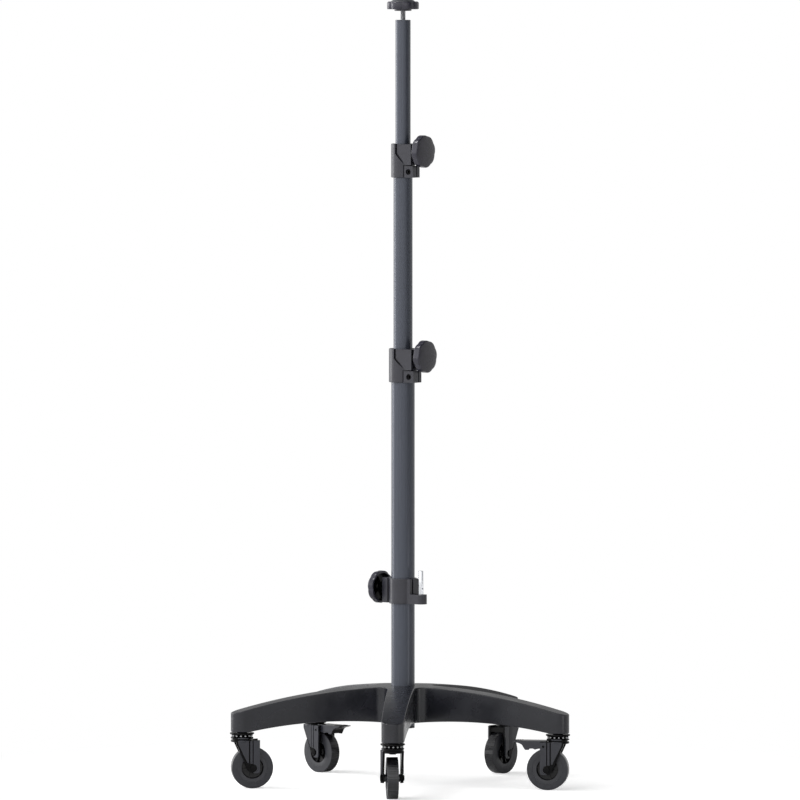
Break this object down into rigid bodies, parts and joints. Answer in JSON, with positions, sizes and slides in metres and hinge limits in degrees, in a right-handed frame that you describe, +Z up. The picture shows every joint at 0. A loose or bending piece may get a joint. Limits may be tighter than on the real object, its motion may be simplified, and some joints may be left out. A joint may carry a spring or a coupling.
{
  "type": "mobile display stand",
  "caption": "Rolling stand with a star base on castors, a height-adjustable telescopic mast with star-knob clamps, a side arm with an upright pin and a clamping knob on top.",
  "frame": {"origin": "on the floor, at the centre of the bounding box", "axes": "+Z up along the mast, -Y towards the front arm, +X to the right"},
  "size_m": [0.6141, 0.5865, 1.4231],
  "materials": {
    "cast_base_paint": "satin",
    "tube_paint": "satin",
    "clamp_plastic": "satin",
    "knob_plastic": "satin",
    "knob_cap_plastic": "satin",
    "bush_nylon": "matte",
    "screw_steel": "satin",
    "pin_chrome": "polished",
    "castor_black_steel": "gloss",
    "wheel_plastic": "satin",
    "tyre_rubber": "satin"
  },
  "bodies": {
    "stand_base": {"star_base": "cast_base_paint", "mast_grub_screw": "screw_steel", "mast_foot_plug": "bush_nylon", "lower_tube": "tube_paint", "lower_clamp_collar": "clamp_plastic", "lower_clamp_pinch_screw": "screw_steel", "lower_clamp_liner_bush": "bush_nylon", "castor_front_stem": "castor_black_steel", "castor_right_stem": "castor_black_steel", "castor_back_right_stem": "castor_black_steel", "castor_back_left_stem": "castor_black_steel", "castor_left_stem": "castor_black_steel"},
    "middle_guide": {"middle_guide_bush": "bush_nylon"},
    "middle_mast": {"middle_tube": "tube_paint", "upper_clamp_collar": "clamp_plastic", "upper_clamp_pinch_screw": "screw_steel", "upper_clamp_liner_bush": "bush_nylon"},
    "upper_guide": {"upper_guide_bush": "bush_nylon"},
    "upper_mast": {"upper_tube": "tube_paint", "top_plug": "screw_steel", "top_stud": "screw_steel"},
    "top_knob_turning": {"top_knob": "knob_plastic", "top_knob_cap": "knob_cap_plastic"},
    "lower_clamp_turning": {"lower_clamp_screw": "screw_steel", "lower_clamp_knob": "knob_plastic"},
    "upper_clamp_turning": {"upper_clamp_screw": "screw_steel", "upper_clamp_knob": "knob_plastic"},
    "accessory_sleeve": {"accessory_liner": "bush_nylon"},
    "accessory_arm": {"accessory_collar": "clamp_plastic", "accessory_pin": "pin_chrome"},
    "accessory_turning": {"accessory_screw": "screw_steel", "accessory_knob": "knob_plastic"},
    "front_castor": {"castor_front_fork": "castor_black_steel", "castor_front_axle": "castor_black_steel"},
    "front_wheel": {"castor_front_wheel_core": "wheel_plastic", "castor_front_tyre": "tyre_rubber"},
    "right_castor": {"castor_right_fork": "castor_black_steel", "castor_right_axle": "castor_black_steel", "castor_right_brake_pin": "screw_steel"},
    "right_wheel": {"castor_right_wheel_core": "wheel_plastic", "castor_right_tyre": "tyre_rubber"},
    "right_brake": {"castor_right_brake_pedal": "castor_black_steel"},
    "back_right_castor": {"castor_back_right_fork": "castor_black_steel", "castor_back_right_axle": "castor_black_steel"},
    "back_right_wheel": {"castor_back_right_wheel_core": "wheel_plastic", "castor_back_right_tyre": "tyre_rubber"},
    "back_left_castor": {"castor_back_left_fork": "castor_black_steel", "castor_back_left_axle": "castor_black_steel", "castor_back_left_brake_pin": "screw_steel"},
    "back_left_wheel": {"castor_back_left_wheel_core": "wheel_plastic", "castor_back_left_tyre": "tyre_rubber"},
    "back_left_brake": {"castor_back_left_brake_pedal": "castor_black_steel"},
    "left_castor": {"castor_left_fork": "castor_black_steel", "castor_left_axle": "castor_black_steel"},
    "left_wheel": {"castor_left_wheel_core": "wheel_plastic", "castor_left_tyre": "tyre_rubber"}
  },
  "joints": [
    {"name": "middle_tube_slide", "type": "slide", "parent": "stand_base", "child": "middle_guide", "axis": [0, 0, 1], "range_m": [-0.305, 0.26]},
    {"name": "middle_tube_turn", "type": "hinge", "parent": "middle_guide", "child": "middle_mast", "pos_m": [0, 0.02865, 0], "axis": [0, 0, 1], "continuous": true},
    {"name": "upper_tube_slide", "type": "slide", "parent": "middle_mast", "child": "upper_guide", "axis": [0, 0, 1], "range_m": [-0.22, 0.37]},
    {"name": "upper_tube_turn", "type": "hinge", "parent": "upper_guide", "child": "upper_mast", "pos_m": [0, 0.02865, 0], "axis": [0, 0, 1], "continuous": true},
    {"name": "top_knob_turn", "type": "hinge", "parent": "upper_mast", "child": "top_knob_turning", "pos_m": [0, 0.02865, 0], "axis": [0, 0, 1], "continuous": true},
    {"name": "lower_clamp_knob_turn", "type": "hinge", "parent": "stand_base", "child": "lower_clamp_turning", "pos_m": [0, 0.02865, 0.7775], "axis": [0.8434, -0.5373, 0], "continuous": true},
    {"name": "upper_clamp_knob_turn", "type": "hinge", "parent": "middle_mast", "child": "upper_clamp_turning", "pos_m": [0, 0.02865, 1.1478], "axis": [0.8434, -0.5373, 0], "continuous": true},
    {"name": "accessory_slide", "type": "slide", "parent": "stand_base", "child": "accessory_sleeve", "axis": [0, 0, 1], "range_m": [-0.12, 0.33]},
    {"name": "accessory_turn", "type": "hinge", "parent": "accessory_sleeve", "child": "accessory_arm", "pos_m": [0, 0.02865, 0], "axis": [0, 0, 1], "continuous": true},
    {"name": "accessory_knob_turn", "type": "hinge", "parent": "accessory_arm", "child": "accessory_turning", "pos_m": [0, 0.02865, 0.3565], "axis": [-0.7934, 0.6088, 0], "continuous": true},
    {"name": "front_castor_swivel", "type": "hinge", "parent": "stand_base", "child": "front_castor", "pos_m": [0, -0.27135, 0], "axis": [0, 0, 1], "continuous": true},
    {"name": "front_wheel_roll", "type": "hinge", "parent": "front_castor", "child": "front_wheel", "pos_m": [-0.00219, -0.25349, 0.0375], "axis": [-0.9925, -0.1219, 0], "continuous": true},
    {"name": "right_castor_swivel", "type": "hinge", "parent": "stand_base", "child": "right_castor", "pos_m": [0.28532, -0.06406, 0], "axis": [0, 0, 1], "continuous": true},
    {"name": "right_wheel_roll", "type": "hinge", "parent": "right_castor", "child": "right_wheel", "pos_m": [0.2674, -0.06233, 0.0375], "axis": [-0.0958, -0.9954, 0], "continuous": true},
    {"name": "right_brake_press", "type": "hinge", "parent": "right_castor", "child": "right_brake", "pos_m": [0.26143, -0.06176, 0.0795], "axis": [-0.0958, -0.9954, 0], "range_deg": [0, 12]},
    {"name": "back_right_castor_swivel", "type": "hinge", "parent": "stand_base", "child": "back_right_castor", "pos_m": [0.17634, 0.27135, 0], "axis": [0, 0, 1], "continuous": true},
    {"name": "back_right_wheel_roll", "type": "hinge", "parent": "back_right_castor", "child": "back_right_wheel", "pos_m": [0.16614, 0.25652, 0.0375], "axis": [0.8241, -0.5664, 0], "continuous": true},
    {"name": "back_left_castor_swivel", "type": "hinge", "parent": "stand_base", "child": "back_left_castor", "pos_m": [-0.17634, 0.27135, 0], "axis": [0, 0, 1], "continuous": true},
    {"name": "back_left_wheel_roll", "type": "hinge", "parent": "back_left_castor", "child": "back_left_wheel", "pos_m": [-0.16328, 0.25896, 0.0375], "axis": [0.6884, 0.7254, 0], "continuous": true},
    {"name": "back_left_brake_press", "type": "hinge", "parent": "back_left_castor", "child": "back_left_brake", "pos_m": [-0.15893, 0.25483, 0.0795], "axis": [0.6884, 0.7254, 0], "range_deg": [0, 12]},
    {"name": "left_castor_swivel", "type": "hinge", "parent": "stand_base", "child": "left_castor", "pos_m": [-0.28532, -0.06406, 0], "axis": [0, 0, 1], "continuous": true},
    {"name": "left_wheel_roll", "type": "hinge", "parent": "left_castor", "child": "left_wheel", "pos_m": [-0.26768, -0.06047, 0.0375], "axis": [-0.1994, 0.9799, 0], "continuous": true}
  ]
}
